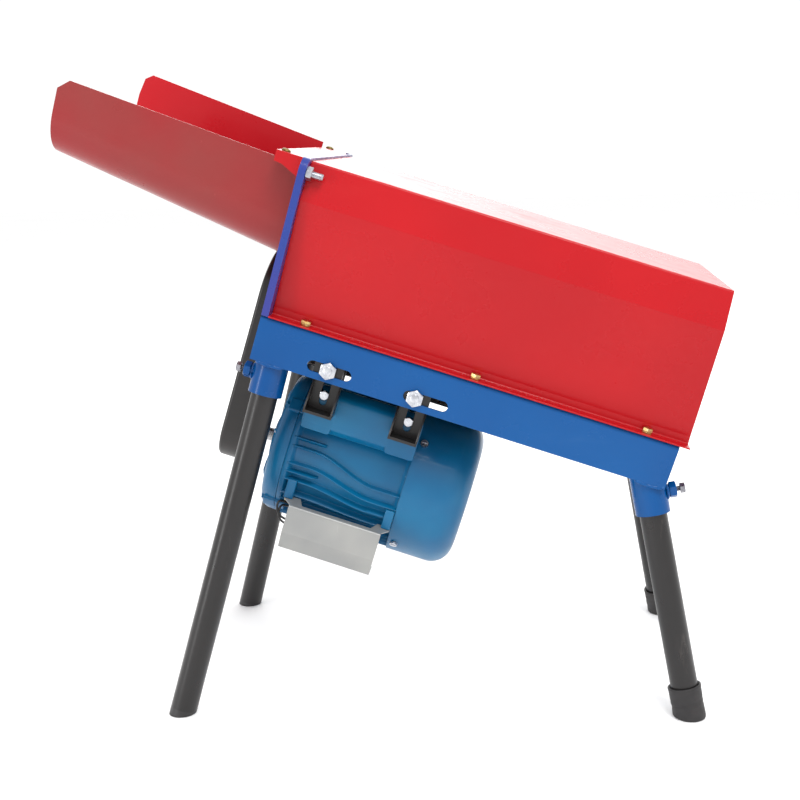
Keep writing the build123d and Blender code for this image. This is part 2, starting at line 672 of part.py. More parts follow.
def fan_cover_screws():
    """Pan-head screws into the end bell's rim."""
    head = rod_z(4.6, 0.05, 2.8, 0, 0) - Pos(0, 0, 2.8) * Box(7, 1.2, 1.4) + rod_z(2.5, -5.5, 0.1, 0, 0)
    lift = Pos(MOTOR_BODY[1] + 6, 0, MOTOR_R)
    return group([at_motor(Rot(angle, 0, 0) * lift * head) for angle in LUG_ANGLES])


def motor_tie_screws():
    screw = along(bolt(5, 14, 8, 3.5), (47.9, 0, MOTOR_R - 8), (-1, 0, 0))
    return group([at_motor(Rot(angle, 0, 0) * screw) for angle in LUG_ANGLES])


def cable_gland():
    """Mains inlet on the rear of the housing."""
    body = rod_z(11, 0, 6, 0, 0) + Pos(0, 0, 6) * hexagon(20, 7) + rod_z(8.5, 13, 19, 0, 0)
    body -= rod_z(4.2, -1, 20, 0, 0)
    reach, angle = MOTOR_R, radians(20)
    point = (130, reach * cos(angle), -reach * sin(angle))
    return at_motor(along(body, point, (0, cos(angle), -sin(angle))))


# --- brackets and capacitor -------------------------------------------------------------------------
def motor_bracket(x):
    """Folded tray: tab behind the rail, top, slotted web, and a gusseted lip turned forwards."""
    front = -HALF_WIDTH + RAIL_SHEET + 0.05
    web, back = FOOT_FACE - BRACKET_SHEET, FOOT_FACE
    top, low, lip = -10.0, -92.0, 24.0
    x0, x1 = x - BRACKET_WIDTH / 2, x + BRACKET_WIDTH / 2
    tray = box(x0, x1, web, back, low, top)
    tray += box(x0, x1, front, back, top - BRACKET_SHEET, top)
    tray += box(x0, x1, front, front + BRACKET_SHEET, -46, top)
    tray += box(x0, x1, back - lip, back, low, low + BRACKET_SHEET)
    gusset = [(back, low), (back - lip, low), (back - lip, low + 6), (web - 3, -56), (web - 3, -30),
              (back, -30)]
    for side in (x0, x1 - 2.0):
        tray += prism_yz(gusset, side, side + 2.0)
    slot = extrude(SlotOverall(34, 9), amount=6, both=True)
    tray -= Plane(origin=(x, web, -67), x_dir=(0, 0, 1), z_dir=(0, 1, 0)) * slot
    return tray - rod_y(5.2, front - 3, front + 6, x, SLOT_Z)


def motor_brackets():
    return group([motor_bracket(x) for x in BRACKET_X])


def motor_mount_bolts():
    """M10 bolts through the rail's slots and the brackets' tabs."""
    back = -HALF_WIDTH + RAIL_SHEET + BRACKET_SHEET + 0.1
    pieces = []
    for x in BRACKET_X:
        pieces.append(along(bolt(10, 17, 17, 6.4), (x, -HALF_WIDTH, SLOT_Z), (0, -1, 0)))
        pieces.append(along(nut(10, 17, 8), (x, back, SLOT_Z), (0, 1, 0)))
    return group(pieces)


def motor_foot_bolts():
    """M6 screws in the web slots, into the motor's foot."""
    front = FOOT_FACE - BRACKET_SHEET
    return group([along(bolt(6, 10, 10, 4), (x, front, FOOT_BOLT_Z), (0, -1, 0)) for x in BRACKET_X])


CAP_SCREW_X = (78.0, 195.0)
CAP_SCREW_Y = -100.0
CAP_AXIS = (-108.0, -231.0)


def capacitor_box():
    """Folded cover, open at both ends, with an ear at each end of its top flange."""
    x0, x1 = CAP_X
    t = CAP_SHEET
    points = [(CAP_FRONT + 10, CAP_TOP - t / 2), (CAP_FRONT + t / 2, CAP_TOP - t / 2),
              (CAP_FRONT + t / 2, CAP_CREASE), (CAP_FRONT + 7, CAP_BOTTOM + t / 2),
              (CAP_FRONT + 34, CAP_BOTTOM + t / 2)]
    cover = folded(points, t, 2.0, x0, x1)
    for end, out, reach, screw in ((x0, -1, 9.5, CAP_SCREW_X[0]), (x1, 1, 7.5, CAP_SCREW_X[1])):
        outline = [(end - out * 0.5, CAP_FRONT + 4), (end + out * reach, CAP_FRONT + 20),
                   (end + out * reach, CAP_FRONT + 31), (end - out * 8, CAP_FRONT + 31),
                   (end - out * 14, CAP_FRONT + 8), (end - out * 14, CAP_FRONT + 4)]
        ear = extrude(make_face(Polyline(*outline, close=True)), amount=t)
        cover += Pos(0, 0, CAP_TOP - t) * ear
        cover -= rod_z(2.7, CAP_TOP - 5, CAP_TOP + 5, screw, CAP_SCREW_Y)
    return cover


def capacitor_screws():
    """Screws up through the ears into the housing."""
    screw = rod_z(4.5, -3.2, -0.05, 0, 0) + rod_z(2.5, -0.1, 9, 0, 0)
    return group([Pos(x, CAP_SCREW_Y, CAP_TOP - CAP_SHEET) * screw for x in CAP_SCREW_X])


def run_capacitor():
    y, z = CAP_AXIS
    body = rod(16, CAP_X[0] + 8, CAP_X[1] - 8, y, z)
    body = fillet(body.edges().filter_by(GeomType.CIRCLE), 2.5)
    return body + rod(6, CAP_X[0] + 4, CAP_X[0] + 9, y, z)


def capacitor_leads():
    """Two leads from the housing, looping out past the drive end and back to the capacitor."""
    y, z = CAP_AXIS
    wires = []
    for step in (0.0, 3.6):
        loop = ThreePointArc((86, -86.5, -216 - step), (69 + step, -99, -212 - step),
                             (CAP_X[0] + 3.2, y + 2 - step, z + 3 - step))
        wires.append(sweep(Plane(origin=loop @ 0, z_dir=loop % 0) * Circle(1.3), path=loop))
    return group(wires)


# --- legs -------------------------------------------------------------------------------------------
def leg_plane(name):
    """Plane where a leg's axis meets the level of the rail's underside, with Z up along the leg."""
    x, lean, side = LEGS[name]
    reach = HALF_WIDTH - RAIL_SHEET - SOCKET_OUT - 0.3
    start = Pos(BODY_X, 0, BODY_Z) * Rot(0, TILT, 0) * Pos(x, side * reach, -RAIL_HEIGHT)
    up = Vector(-tan(radians(lean)), -side * tan(radians(LEG_SPLAY)), 1)
    return Plane(origin=start.position, z_dir=up)


def leg_length(name):
    """Length from the rail's underside to the floor along the leg."""
    plane = leg_plane(name)
    return plane.origin.Z / plane.z_dir.Z


def clamp_plane(name):
    """Plane on a leg's axis with Z pointing out along its clamp screw, away from the machine."""
    plane = leg_plane(name)
    up = plane.z_dir
    outward = Vector(1 if LEGS[name][1] > 0 else -1, 0, 0)
    outward = outward - up * outward.dot(up)
    return Plane(origin=plane.origin - up * CLAMP_DROP, x_dir=up, z_dir=outward)


BOOT_HEIGHT = 35.0
BOOT_R = 18.3
NUT_HIGH, NUT_FLATS = 8.0, 16.0
CLAMP_R = 3.0


def socket_tube(name, radius, low, high):
    """Round bar on a leg's axis, between two heights above the rail's underside."""
    return leg_plane(name) * rod_z(radius, low, high, 0, 0)


def socket(name):
    tube = socket_tube(name, SOCKET_OUT, -SOCKET_DOWN, SOCKET_UP)
    tube -= socket_tube(name, SOCKET_IN, -SOCKET_DOWN - 1, SOCKET_UP + 1)
    tube -= clamp_plane(name) * rod_z(CLAMP_R + 0.4, 5, 30, 0, 0)
    return tube - place(box(-60, RAIL_LENGTH + 60, -220, 220, SOCKET_CUT, 60))


def leg_sockets():
    return group([socket(name) for name in LEGS])


def clamp_nuts():
    """Weld nuts, each with its seat cut to the socket's curve."""
    high = SOCKET_OUT + 2 + NUT_HIGH
    block = Pos(0, 0, SOCKET_OUT + 2) * hexagon(NUT_FLATS, NUT_HIGH) + rod_z(6.5, 12, SOCKET_OUT + 3, 0, 0)
    block -= rod_z(CLAMP_R + FIT, 10, high + 1, 0, 0)
    return group([clamp_plane(name) * block - socket_tube(name, SOCKET_OUT, -90, 60) for name in LEGS])


def clamp_screw(name):
    """Hex screw whose tip bears on the leg."""
    head = SOCKET_OUT + NUT_HIGH + 6
    screw = rod_z(CLAMP_R, LEG_R + 0.05, head, 0, 0) + Pos(0, 0, head) * hexagon(10, 5.5)
    return clamp_plane(name) * screw


def leg_tube(name):
    """Tube from inside the socket to inside its foot."""
    high, low = 32.0, 6.0 - leg_length(name)
    tube = rod_z(LEG_R, low, high, 0, 0) - rod_z(LEG_BORE, low - 1, high + 1, 0, 0)
    return leg_plane(name) * tube


def above_floor(shape):
    return shape & box(-900, 900, -900, 900, 0, 300)


def leg_boot(name):
    """Loose rubber cup, its foot cut level with the floor."""
    length = leg_length(name)
    cup = rod_z(BOOT_R, -length - 20, BOOT_HEIGHT - length, 0, 0)
    cup -= rod_z(LEG_R + 0.02, 6.0 - length, BOOT_HEIGHT + 1 - length, 0, 0)
    return above_floor(leg_plane(name) * cup)


def leg_plug(name):
    """Plastic plug of the tube's own diameter, its foot cut level with the floor."""
    length = leg_length(name)
    plug = rod_z(LEG_R, -length - 20, 6.0 - length, 0, 0) + rod_z(LEG_BORE, 5 - length, 26 - length, 0, 0)
    return above_floor(leg_plane(name) * plug)


# --- export -----------------------------------------------------------------------------------------
BODY_NODES = {
    "front_side_rail": front_side_rail, "rear_side_rail": lambda: mirrored(side_rail()),
    "feed_end_plate": feed_end_plate, "discharge_end_bar": discharge_end_bar,
    "hood": hood, "hood_screws": hood_screws, "feed_hopper": feed_hopper,
    "hopper_collar": hopper_collar, "collar_screws": collar_screws, "collar_bolts": collar_bolts,
    "concave_screen": concave_screen, "drum_shaft": drum_shaft, "drum_key": drum_key,
    "threshing_drum": threshing_drum, "drum_pegs": drum_pegs, "bearing_housings": bearing_housings,
    "drum_bearings": drum_bearings, "bearing_bolts": bearing_bolts,
    "drum_pulley": drum_pulley, "motor_pulley": motor_pulley, "motor_key": motor_key, "v_belt": v_belt,
    "belt_guard": belt_guard, "guard_back": guard_back, "guard_standoffs": guard_standoffs,
    "guard_screws": guard_screws, "motor_housing": motor_housing, "drive_end_bell": drive_end_bell,
    "fan_end_bell": fan_end_bell, "motor_bearings": motor_bearings, "stator_core": stator_core,
    "stator_winding": stator_winding, "rotor_shaft": rotor_shaft, "rotor_core": rotor_core,
    "cooling_fan": cooling_fan, "fan_cover": fan_cover, "fan_cover_screws": fan_cover_screws,
    "motor_tie_screws": motor_tie_screws, "cable_gland": cable_gland, "motor_brackets": motor_brackets,
    "motor_mount_bolts": motor_mount_bolts, "motor_foot_bolts": motor_foot_bolts,
    "capacitor_box": capacitor_box, "capacitor_screws": capacitor_screws,
    "run_capacitor": run_capacitor, "capacitor_leads": capacitor_leads,
}

for node, make in BODY_NODES.items():
    export_step(place(make()), f"parts/{node}.step")

export_step(leg_sockets(), "parts/leg_sockets.step")
export_step(clamp_nuts(), "parts/clamp_nuts.step")
for leg, (_, lean, _) in LEGS.items():
    export_step(leg_tube(leg), f"parts/{leg}_leg.step")
    export_step(clamp_screw(leg), f"parts/{leg}_clamp_screw.step")
    if lean > 0:
        export_step(leg_boot(leg), f"parts/{leg}_boot.step")
    else:
        export_step(leg_plug(leg), f"parts/{leg}_plug.step")
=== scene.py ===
import json
import math
import random

import bmesh
import bpy
from mathutils import Matrix, Vector

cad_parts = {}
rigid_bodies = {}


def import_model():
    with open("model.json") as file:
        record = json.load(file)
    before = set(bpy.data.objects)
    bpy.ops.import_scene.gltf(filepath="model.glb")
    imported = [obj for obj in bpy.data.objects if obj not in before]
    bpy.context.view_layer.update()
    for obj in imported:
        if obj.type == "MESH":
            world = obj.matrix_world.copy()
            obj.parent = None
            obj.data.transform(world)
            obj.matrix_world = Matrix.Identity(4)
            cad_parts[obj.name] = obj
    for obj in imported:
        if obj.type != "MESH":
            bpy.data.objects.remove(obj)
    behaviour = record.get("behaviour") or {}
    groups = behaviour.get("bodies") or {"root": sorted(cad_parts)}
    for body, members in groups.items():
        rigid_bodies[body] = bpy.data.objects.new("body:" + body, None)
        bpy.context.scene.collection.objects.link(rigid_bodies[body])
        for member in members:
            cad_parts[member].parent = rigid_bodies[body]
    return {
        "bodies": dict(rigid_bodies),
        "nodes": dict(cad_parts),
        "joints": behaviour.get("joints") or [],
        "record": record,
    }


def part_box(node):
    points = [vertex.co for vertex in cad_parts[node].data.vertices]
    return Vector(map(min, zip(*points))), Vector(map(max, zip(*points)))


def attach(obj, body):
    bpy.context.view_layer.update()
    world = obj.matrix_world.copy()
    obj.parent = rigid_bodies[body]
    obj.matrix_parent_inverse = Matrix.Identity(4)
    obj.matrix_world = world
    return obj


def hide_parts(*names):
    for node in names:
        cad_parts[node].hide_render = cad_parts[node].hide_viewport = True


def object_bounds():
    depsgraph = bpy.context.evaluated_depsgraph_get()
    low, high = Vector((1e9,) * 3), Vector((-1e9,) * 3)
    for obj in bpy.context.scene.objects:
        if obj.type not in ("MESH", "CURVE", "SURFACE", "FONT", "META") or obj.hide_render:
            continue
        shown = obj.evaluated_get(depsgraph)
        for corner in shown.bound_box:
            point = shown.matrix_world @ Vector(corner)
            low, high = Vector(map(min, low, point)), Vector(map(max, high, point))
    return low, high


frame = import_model()
CAD_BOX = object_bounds()
MM = 0.001
BODY = "machine_body"
LEGS = ("front_left", "front_right", "rear_left", "rear_right")
JOINTS = {joint["name"]: joint for joint in frame["joints"]}
random.seed(11)

# ---------------------------------------------------------------------------------------------------
# Frames: the machine's own axes come from the drum's joint, the motor's from its rotor's.
# ---------------------------------------------------------------------------------------------------


def axes_matrix(origin, x_axis, y_axis):
    x = Vector(x_axis).normalized()
    z = x.cross(Vector(y_axis)).normalized()
    y = z.cross(x)
    rotation = Matrix((x, y, z)).transposed().to_4x4()
    return Matrix.Translation(Vector(origin)) @ rotation


MACHINE = axes_matrix(JOINTS["drum_spin"]["pos_m"], JOINTS["drum_spin"]["axis"], (0, 1, 0))
MOTOR = axes_matrix(JOINTS["motor_spin"]["pos_m"], JOINTS["motor_spin"]["axis"], (0, 1, 0))


def at(x, y, z):
    """Millimetres in the machine's axes (along the rails, across, square to them) to the row frame."""
    return MACHINE @ Vector((x * MM, y * MM, z * MM))


def facing(origin, direction):
    """Matrix at a point, with Z along a direction."""
    z = Vector(direction).normalized()
    return Matrix.Translation(Vector(origin)) @ z.to_track_quat("Z", "Y").to_matrix().to_4x4()


# ---------------------------------------------------------------------------------------------------
# Node helpers
# ---------------------------------------------------------------------------------------------------


def srgb(red, green, blue):
    """8-bit screen colour to linear."""
    def one(value):
        value /= 255
        return value / 12.92 if value <= 0.04045 else ((value + 0.055) / 1.055) ** 2.4
    return one(red), one(green), one(blue), 1.0


class Nodes:
    """Small builder for one material's node tree."""

    def __init__(self, name):
        self.material = bpy.data.materials.new(name)
        self.material.use_nodes = True
        self.tree = self.material.node_tree
        self.shader = self.tree.nodes["Principled BSDF"]
        self.coords = self.tree.nodes.new("ShaderNodeTexCoord").outputs["Object"]

    def add(self, kind, inputs=None, **settings):
        node = self.tree.nodes.new(kind)
        for key, value in settings.items():
            setattr(node, key, value)
        for key, value in (inputs or {}).items():
            self.put(node.inputs[key], value)
        return node

    def put(self, socket, value):
        if isinstance(value, bpy.types.NodeSocket):
            self.tree.links.new(value, socket)
        else:
            socket.default_value = value

    def stretch(self, scale):
        node = self.add("ShaderNodeMapping", {"Vector": self.coords})
        node.inputs["Scale"].default_value = scale
        return node.outputs[0]

    def noise(self, scale, detail=3.0, rough=0.5, coords=None):
        node = self.add("ShaderNodeTexNoise", {"Vector": coords or self.coords, "Scale": scale,
                                               "Detail": detail, "Roughness": rough})
        return node.outputs["Fac"]

    def spots(self, scale):
        node = self.add("ShaderNodeTexVoronoi", {"Vector": self.coords, "Scale": scale})
        return node.outputs["Distance"]

    def ramp(self, value, low, high, out_low=0.0, out_high=1.0):
        node = self.add("ShaderNodeMapRange", {"Value": value, "From Min": low, "From Max": high,
                                               "To Min": out_low, "To Max": out_high})
        return node.outputs[0]

    def mix(self, factor, first, second):
        node = self.add("ShaderNodeMix", data_type="RGBA")
        self.put(node.inputs["Factor"], factor)
        self.put(node.inputs[6], first)
        self.put(node.inputs[7], second)
        return node.outputs[2]

    def math(self, kind, first, second=0.0):
        node = self.add("ShaderNodeMath", operation=kind)
        self.put(node.inputs[0], first)
        self.put(node.inputs[1], second)
        return node.outputs[0]

    def outside_glare(self):
        """1 where a wall faces away from the machine's middle plane, 0 on its inner face; it masks a painted glare on
        the outer faces.
        """
        where = self.add("ShaderNodeSeparateXYZ", {"Vector": self.coords}).outputs["Y"]
        face = self.add("ShaderNodeNewGeometry").outputs["True Normal"]
        turned = self.add("ShaderNodeSeparateXYZ", {"Vector": face})
        outward = self.math("MULTIPLY", self.math("SIGN", where), turned.outputs["Y"])
        return self.ramp(self.math("SUBTRACT", outward, turned.outputs["Z"]), -0.1, 0.3)

    def edges(self, width, amount):
        """Mask for a painted highlight along a sheet's edges and bends, broken up by noise."""
        soft = self.add("ShaderNodeBevel", {"Radius": width * MM}, samples=4).outputs[0]
        sharp = self.add("ShaderNodeNewGeometry").outputs["Normal"]
        dot = self.add("ShaderNodeVectorMath", operation="DOT_PRODUCT")
        self.put(dot.inputs[0], soft)
        self.put(dot.inputs[1], sharp)
        near = self.ramp(dot.outputs["Value"], 0.985, 0.86)
        broken = self.ramp(self.noise(130.0, 4.0, 0.7), 0.46, 0.6)
        return self.ramp(self.math("MULTIPLY", near, broken), 0.0, 1.0, 0.0, amount)

    def bump(self, *layers, rounding=0.0):
        """Layers of (height socket, strength, depth in millimetres) over edges rounded by the bevel."""
        normal = None
        if rounding:
            normal = self.add("ShaderNodeBevel", {"Radius": rounding * MM}, samples=4).outputs[0]
        for height, strength, depth in layers:
            node = self.add("ShaderNodeBump", {"Height": height, "Strength": strength,
                                               "Distance": depth * MM})
            if normal is not None:
                self.put(node.inputs["Normal"], normal)
            normal = node.outputs[0]
        self.put(self.shader.inputs["Normal"], normal)

    def set(self, **values):
        names = {"color": "Base Color", "rough": "Roughness", "metal": "Metallic", "coat": "Coat Weight",
                 "coat_rough": "Coat Roughness", "specular": "Specular IOR Level", "ior": "IOR"}
        for key, value in values.items():
            self.put(self.shader.inputs[names[key]], value)
        return self.material


# ---------------------------------------------------------------------------------------------------
# Materials
# ---------------------------------------------------------------------------------------------------


def enamel(name, color, shade, rough=0.28, coat=0.08, peel=0.22, dust=0.05, dust_and_sheen_color=(0.55, 0.5, 0.45, 1),
           gloss=0.22, outside_glare=None, edge=0.35):
    """Sprayed gloss paint: slow colour drift, orange peel, faint handling marks, a painted highlight on edges and
    bends, and an optional painted glare on outer faces.
    """
    m = Nodes(name)
    base = m.mix(m.ramp(m.noise(5.0, 2.0), 0.3, 0.7), color, shade)
    # Outer faces can take a duller, pinker colour: a painted glare.
    if outside_glare:
        base = m.mix(m.outside_glare(), base, m.mix(m.ramp(m.noise(9.0, 4.0), 0.35, 0.7), outside_glare[0], outside_glare[1]))
    streaks = m.noise(1.0, 5.0, 0.65, m.stretch((6, 40, 30)))
    base = m.mix(m.ramp(streaks, 0.58, 0.8, 0.0, dust), base, dust_and_sheen_color)
    specks = m.ramp(m.noise(190.0, 2.0, 0.5), 0.74, 0.80, 0.0, dust * 3)
    base = m.mix(specks, base, dust_and_sheen_color)
    # Edges and bends lightened towards the dust colour: a painted edge highlight.
    base = m.mix(m.edges(0.9, edge), base, dust_and_sheen_color)
    smudge = m.noise(16.0, 5.0, 0.62)
    m.bump((m.noise(420.0, 1.0), peel, 0.2), (m.noise(6.0, 1.0), 0.10, 2.0), rounding=0.7)
    return m.set(color=base, rough=m.ramp(smudge, 0.3, 0.75, rough * 0.8, rough * 1.4), coat=coat,
                 coat_rough=0.08, specular=gloss)


def worn_tube(name, color):
    """Black satin tube, rubbed lighter along its length by the clamp and by packing."""
    m = Nodes(name)
    rub = m.noise(1.0, 6.0, 0.66, m.stretch((60, 60, 9)))
    rubbed = m.ramp(rub, 0.62, 0.8, 0.0, 0.4)
    base = m.mix(m.noise(18.0, 3.0), color, [c * 1.35 for c in color[:3]] + [1])
    base = m.mix(rubbed, base, srgb(112, 104, 98))
    m.bump((m.noise(500.0, 2.0), 0.22, 0.2), (m.noise(40.0, 2.0), 0.12, 0.5))
    return m.set(color=base, rough=m.ramp(m.noise(35.0, 4.0), 0.3, 0.7, 0.26, 0.38), specular=0.42)


def plated(name, color, stain, rough=0.26, grain=900.0):
    """Electroplated fastener: mottled passivation over fine grain."""
    m = Nodes(name)
    base = m.mix(m.ramp(m.noise(160.0, 4.0, 0.6), 0.38, 0.66), color, stain)
    m.bump((m.noise(grain, 2.0), 0.25, 0.08))
    return m.set(color=base, metal=1.0, rough=m.ramp(m.noise(240.0, 3.0), 0.3, 0.7, rough * 0.7, rough * 1.5))


def cast_paint(name, color, shade):
    """Satin paint over an as-cast surface: fine pebbling, thin paint on high spots."""
    m = Nodes(name)
    base = m.mix(m.ramp(m.noise(12.0, 3.0), 0.35, 0.68), color, shade)
    chips = m.ramp(m.noise(95.0, 5.0, 0.7), 0.70, 0.76, 0.0, 0.35)
    base = m.mix(chips, base, srgb(120, 160, 178))
    m.bump((m.noise(620.0, 3.0, 0.6), 0.35, 0.3), (m.noise(70.0, 2.0), 0.15, 0.6), rounding=0.5)
    return m.set(color=base, rough=m.ramp(m.noise(30.0, 4.0), 0.3, 0.7, 0.28, 0.42), coat=0.1, coat_rough=0.1,
                 specular=0.35)


def bare_steel(name, color, stain, rough=0.4, along=(30, 400, 400)):
    """Machined or worked steel, darker where it has oxidised."""
    m = Nodes(name)
    base = m.mix(m.ramp(m.noise(28.0, 6.0, 0.65), 0.42, 0.66), color, stain)
    lines = m.noise(1.0, 2.0, 0.5, m.stretch(along))
    m.bump((lines, 0.3, 0.1))
    return m.set(color=base, metal=0.9, rough=m.ramp(lines, 0.3, 0.7, rough * 0.75, rough * 1.3))


def polymer(name, color, shade, rough=0.6, grain=700.0, depth=0.3):
    """Rubber or moulded plastic with a fine tooled grain and a bloom of dust."""
    m = Nodes(name)
    bloom = m.ramp(m.noise(24.0, 4.0, 0.6), 0.45, 0.75, 0.0, 0.5)
    m.bump((m.noise(grain, 2.0), 0.35, depth))
    return m.set(color=m.mix(bloom, color, shade), rough=m.ramp(m.noise(50.0, 3.0), 0.3, 0.7, rough * 0.85,
                                                                min(1.0, rough * 1.2)))


def weathered_grey(name):
    """Thin light-grey enamel on the capacitor's cover: scuffs, faint rolling lines and a painted highlight on its
    edges.
    """
    m = Nodes(name)
    base = m.mix(m.ramp(m.noise(16.0, 3.0), 0.3, 0.7), srgb(154, 154, 151), srgb(140, 141, 140))
    scuff = m.ramp(m.noise(1.0, 5.0, 0.7, m.stretch((260, 90, 40))), 0.66, 0.76, 0.0, 0.5)
    base = m.mix(scuff, base, srgb(186, 186, 183))
    # Edges and bends lightened to near white: a painted edge highlight.
    base = m.mix(m.edges(1.0, 0.6), base, srgb(228, 228, 224))
    m.bump((m.noise(1.0, 2.0, 0.5, m.stretch((30, 900, 900))), 0.15, 0.1), (m.noise(16.0, 2.0), 0.2, 0.8), rounding=0.6)
    return m.set(color=base, rough=0.38, metal=0.25, coat=0.15, coat_rough=0.2)


def winding_copper(name):
    m = Nodes(name)
    strands = m.add("ShaderNodeTexWave", {"Vector": m.coords, "Scale": 260.0, "Distortion": 3.0})
    m.bump((strands.outputs["Fac"], 0.6, 0.6))
    return m.set(color=m.mix(m.noise(60.0), srgb(150, 78, 40), srgb(110, 50, 26)), metal=0.6, rough=0.35)


BLUE, BLUE_SHADE = srgb(0, 78, 140), srgb(0, 66, 126)
MATERIALS = {
    "rail_blue": enamel("rail_blue_enamel", BLUE, BLUE_SHADE, 0.24, dust_and_sheen_color=srgb(96, 142, 184)),
    "hood_red": enamel("hood_red_enamel", srgb(176, 13, 22), srgb(164, 10, 20), 0.28, dust=0.02,
                       dust_and_sheen_color=srgb(232, 96, 84)),
    # The hopper's outer faces get a dull pink colour: a painted glare, not a paint colour.
    "hopper_red": enamel("hopper_red_enamel", srgb(180, 12, 26), srgb(166, 8, 22), 0.32, dust=0.025,
                         dust_and_sheen_color=srgb(214, 116, 104), outside_glare=(srgb(140, 40, 42), srgb(132, 52, 50))),
    # End plate: the purple second colour and the purple dust colour are a painted purple sheen over the blue paint.
    "plate_blue": enamel("end_plate_enamel", srgb(22, 62, 136), srgb(58, 48, 128), 0.26, 0.2,
                         dust_and_sheen_color=srgb(120, 110, 176)),
    "motor_blue": cast_paint("motor_blue_paint", srgb(0, 98, 140), srgb(0, 84, 128)),
    "zinc_plated": plated("bright_zinc", srgb(206, 208, 212), srgb(176, 178, 186)),
    "yellow_zinc": plated("yellow_zinc", srgb(206, 176, 104), srgb(176, 162, 118)),
    "aged_brass": plated("aged_brass", srgb(128, 110, 66), srgb(96, 80, 48), 0.42),
    "clamp_zinc": plated("dull_zinc", srgb(150, 150, 156), srgb(112, 112, 120), 0.38),
    "leg_black": worn_tube("leg_black_enamel", srgb(27, 25, 25)),
    "boot_rubber": polymer("boot_rubber", srgb(34, 32, 33), srgb(62, 58, 57), 0.62),
    "plug_plastic": polymer("plug_plastic", srgb(34, 33, 34), srgb(58, 56, 55), 0.5, 900.0, 0.15),
    "guard_black": enamel("guard_black_enamel", srgb(27, 25, 25), srgb(38, 35, 34), 0.32, 0.08,
                          dust_and_sheen_color=srgb(104, 93, 88), gloss=0.36),
    "belt_rubber": polymer("belt_rubber", srgb(30, 29, 29), srgb(58, 54, 50), 0.75),
    "machined_steel": bare_steel("machined_steel", srgb(176, 176, 178), srgb(140, 134, 128), 0.3),
    "pulley_iron": bare_steel("pulley_iron", srgb(128, 128, 130), srgb(96, 88, 82), 0.42, (500, 40, 40)),
    "drum_steel": bare_steel("drum_steel", srgb(120, 118, 118), srgb(88, 74, 64), 0.46, (60, 60, 60)),
    "housing_iron": cast_paint("housing_iron_paint", srgb(44, 62, 82), srgb(36, 50, 68)),
    "lamination": bare_steel("laminations", srgb(110, 110, 112), srgb(80, 76, 74), 0.4, (2000, 20, 20)),
    "copper_winding": winding_copper("varnished_copper"),
    "capacitor_sheet": weathered_grey("capacitor_cover_grey"),
    "capacitor_plastic": polymer("capacitor_case", srgb(220, 220, 214), srgb(200, 198, 190), 0.4),
    "wire_black": polymer("wire_black", srgb(16, 16, 18), srgb(40, 40, 42), 0.4, 1200.0, 0.05),
    "fan_plastic": polymer("fan_plastic", srgb(40, 40, 42), srgb(64, 62, 60), 0.5),
    "gland_plastic": polymer("gland_plastic", srgb(36, 36, 38), srgb(60, 58, 56), 0.48),
}

SLOT_OF = {part["node"]: part["material_slot"] for part in frame["record"]["subparts"]}
for node, obj in frame["nodes"].items():
    obj.data.materials.clear()
    obj.data.materials.append(MATERIALS["plate_blue" if node == "feed_end_plate" else SLOT_OF[node]])

# ---------------------------------------------------------------------------------------------------
# Stage, lights and camera
# ---------------------------------------------------------------------------------------------------


def stage():
    mesh = bpy.data.meshes.new("floor")
    build = bmesh.new()
    bmesh.ops.create_grid(build, x_segments=1, y_segments=1, size=12.0)
    build.to_mesh(mesh)
    build.free()
    floor = bpy.data.objects.new("floor", mesh)
    floor.location.z = CAD_BOX[0][2] - 0.0005
    bpy.context.scene.collection.objects.link(floor)
    m = Nodes("floor_white")
    m.set(color=m.mix(m.noise(3.0), (0.93, 0.93, 0.93, 1), (0.95, 0.95, 0.95, 1)), rough=0.9, specular=0.1)
    floor.data.materials.append(m.material)


def area_light(name, location, target, width, height, power, color=(1, 1, 1)):
    light = bpy.data.lights.new(name, "AREA")
    light.shape = "RECTANGLE"
    light.size, light.size_y = width, height
    light.energy = power
    light.color = color
    obj = bpy.data.objects.new(name, light)
    obj.matrix_world = facing(location, Vector(location) - Vector(target))
    obj.visible_camera = False
    bpy.context.scene.collection.objects.link(obj)


def lights():
    world = bpy.data.worlds.new("studio")
    world.use_nodes = True
    world.node_tree.nodes["Background"].inputs["Color"].default_value = (1, 1, 1, 1)
    world.node_tree.nodes["Background"].inputs["Strength"].default_value = 1.06
    bpy.context.scene.world = world
    centre = (0.05, 0, 0.4)
    area_light("back_bank", (0.3, 3.2, 2.2), centre, 4.0, 2.4, 100)
    area_light("key", (0.9, -1.4, 2.7), centre, 1.1, 1.1, 46)
    area_light("side_strip", (-1.9, -1.5, 0.7), (0, 0, 0.3), 0.3, 1.6, 16)


def camera():
    """Eye about 0.63 m above the floor, 1.4 m in front, turned and pitched as a product shot."""
    yaw, pitch, roll = math.radians(6.68), math.radians(12.01), math.radians(-1.98)
    eye = Vector((0.1621, -1.4144, 0.6306))
    forward = Vector((-math.sin(yaw) * math.cos(pitch), math.cos(yaw) * math.cos(pitch), -math.sin(pitch)))
    side = Vector((math.cos(yaw), math.sin(yaw), 0))
    up = side.cross(forward)
    right = side * math.cos(roll) + up * math.sin(roll)
    top = up * math.cos(roll) - side * math.sin(roll)
    data = bpy.data.cameras.new("camera")
    data.sensor_width = 36.0
    data.lens = 54.35
    obj = bpy.data.objects.new("camera", data)
    rotation = Matrix((right, top, -forward)).transposed().to_4x4()
    obj.matrix_world = Matrix.Translation(eye) @ rotation
    bpy.context.scene.collection.objects.link(obj)
    bpy.context.scene.camera = obj


stage()
lights()
camera()
bpy.context.scene.view_settings.view_transform = "Standard"

# ---------------------------------------------------------------------------------------------------
# Mesh helpers. Shapes are drawn in millimetres in a frame's axes and become metres in the row frame.
# ---------------------------------------------------------------------------------------------------


